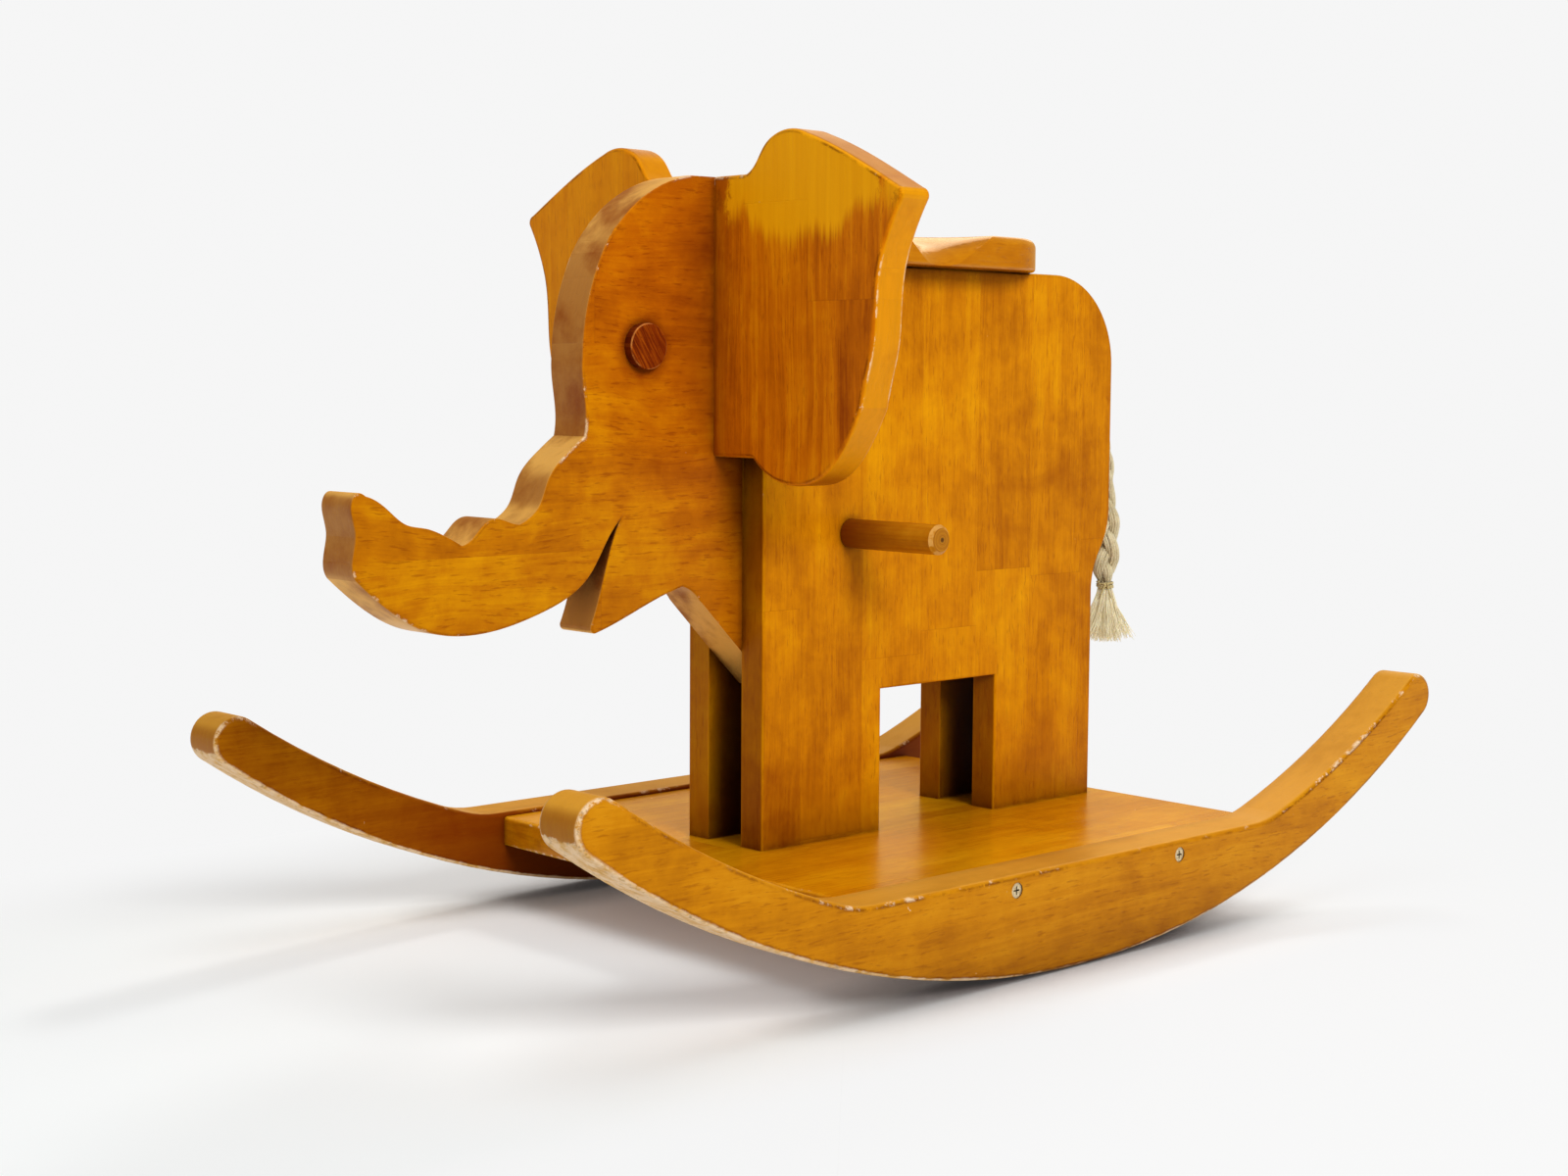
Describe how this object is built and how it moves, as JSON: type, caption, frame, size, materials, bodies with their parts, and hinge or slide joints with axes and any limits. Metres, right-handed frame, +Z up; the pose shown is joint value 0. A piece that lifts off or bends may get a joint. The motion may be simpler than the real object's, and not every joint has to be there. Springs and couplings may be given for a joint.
{
  "type": "rocking elephant ride-on toy",
  "caption": "Wooden ride-on elephant on a deck between curved rockers, with a dished seat, footrest pegs, plank ears and a braided rope tail.",
  "frame": {"origin": "on the floor under the toy, at the centre of the bounding box in plan", "axes": "+X forward towards the trunk tip, +Y to the toy's left, +Z up"},
  "size_m": [0.7542, 0.375, 0.481],
  "materials": {
    "panel_wood": "orange stain under satin varnish",
    "head_wood": "orange stain under satin varnish",
    "ear_wood": "orange stain under satin varnish",
    "rocker_wood": "orange stain under satin varnish",
    "deck_wood": "orange stain under satin varnish",
    "seat_wood": "orange stain under satin varnish",
    "dowel_wood": "orange stain under satin varnish",
    "pin_wood": "plain beech",
    "screw_metal": "yellow zinc plated, dull",
    "rope_cotton": "natural cotton cord"
  },
  "bodies": {
    "toy": {"rocker_left": "rocker_wood", "rocker_right": "rocker_wood", "base_board": "deck_wood", "body_panel_left": "panel_wood", "body_panel_right": "panel_wood", "head_board": "head_wood", "rump_spacer": "panel_wood", "ear_left": "ear_wood", "ear_right": "ear_wood", "eye_dowel": "dowel_wood", "seat": "seat_wood", "footrest_peg_left": "dowel_wood", "footrest_peg_right": "dowel_wood", "rocker_screws_left": "screw_metal", "rocker_screws_right": "screw_metal", "leg_screws": "screw_metal", "ear_pins_left": "pin_wood", "ear_pins_right": "pin_wood", "seat_pins": "pin_wood", "neck_pins": "pin_wood", "spacer_pins": "pin_wood"},
    "tail_root": {"tail_knot": "rope_cotton", "tail_stub": "rope_cotton"},
    "tail_upper": {"tail_braid_upper": "rope_cotton"},
    "tail_lower": {"tail_braid_lower": "rope_cotton", "tail_binding": "rope_cotton", "tail_tassel": "rope_cotton"}
  },
  "joints": [
    {"name": "tail_swing", "type": "hinge", "parent": "toy", "child": "tail_root", "pos_m": [-0.18, 0, 0.314], "axis": [1, 0, 0], "range_deg": [-60, 60]},
    {"name": "tail_lift", "type": "hinge", "parent": "tail_root", "child": "tail_upper", "pos_m": [-0.252, 0, 0.268], "axis": [0, 1, 0], "range_deg": [0, 75]},
    {"name": "tail_bend", "type": "hinge", "parent": "tail_upper", "child": "tail_lower", "pos_m": [-0.252, 0, 0.232], "axis": [0, 1, 0], "range_deg": [-25, 45]}
  ]
}
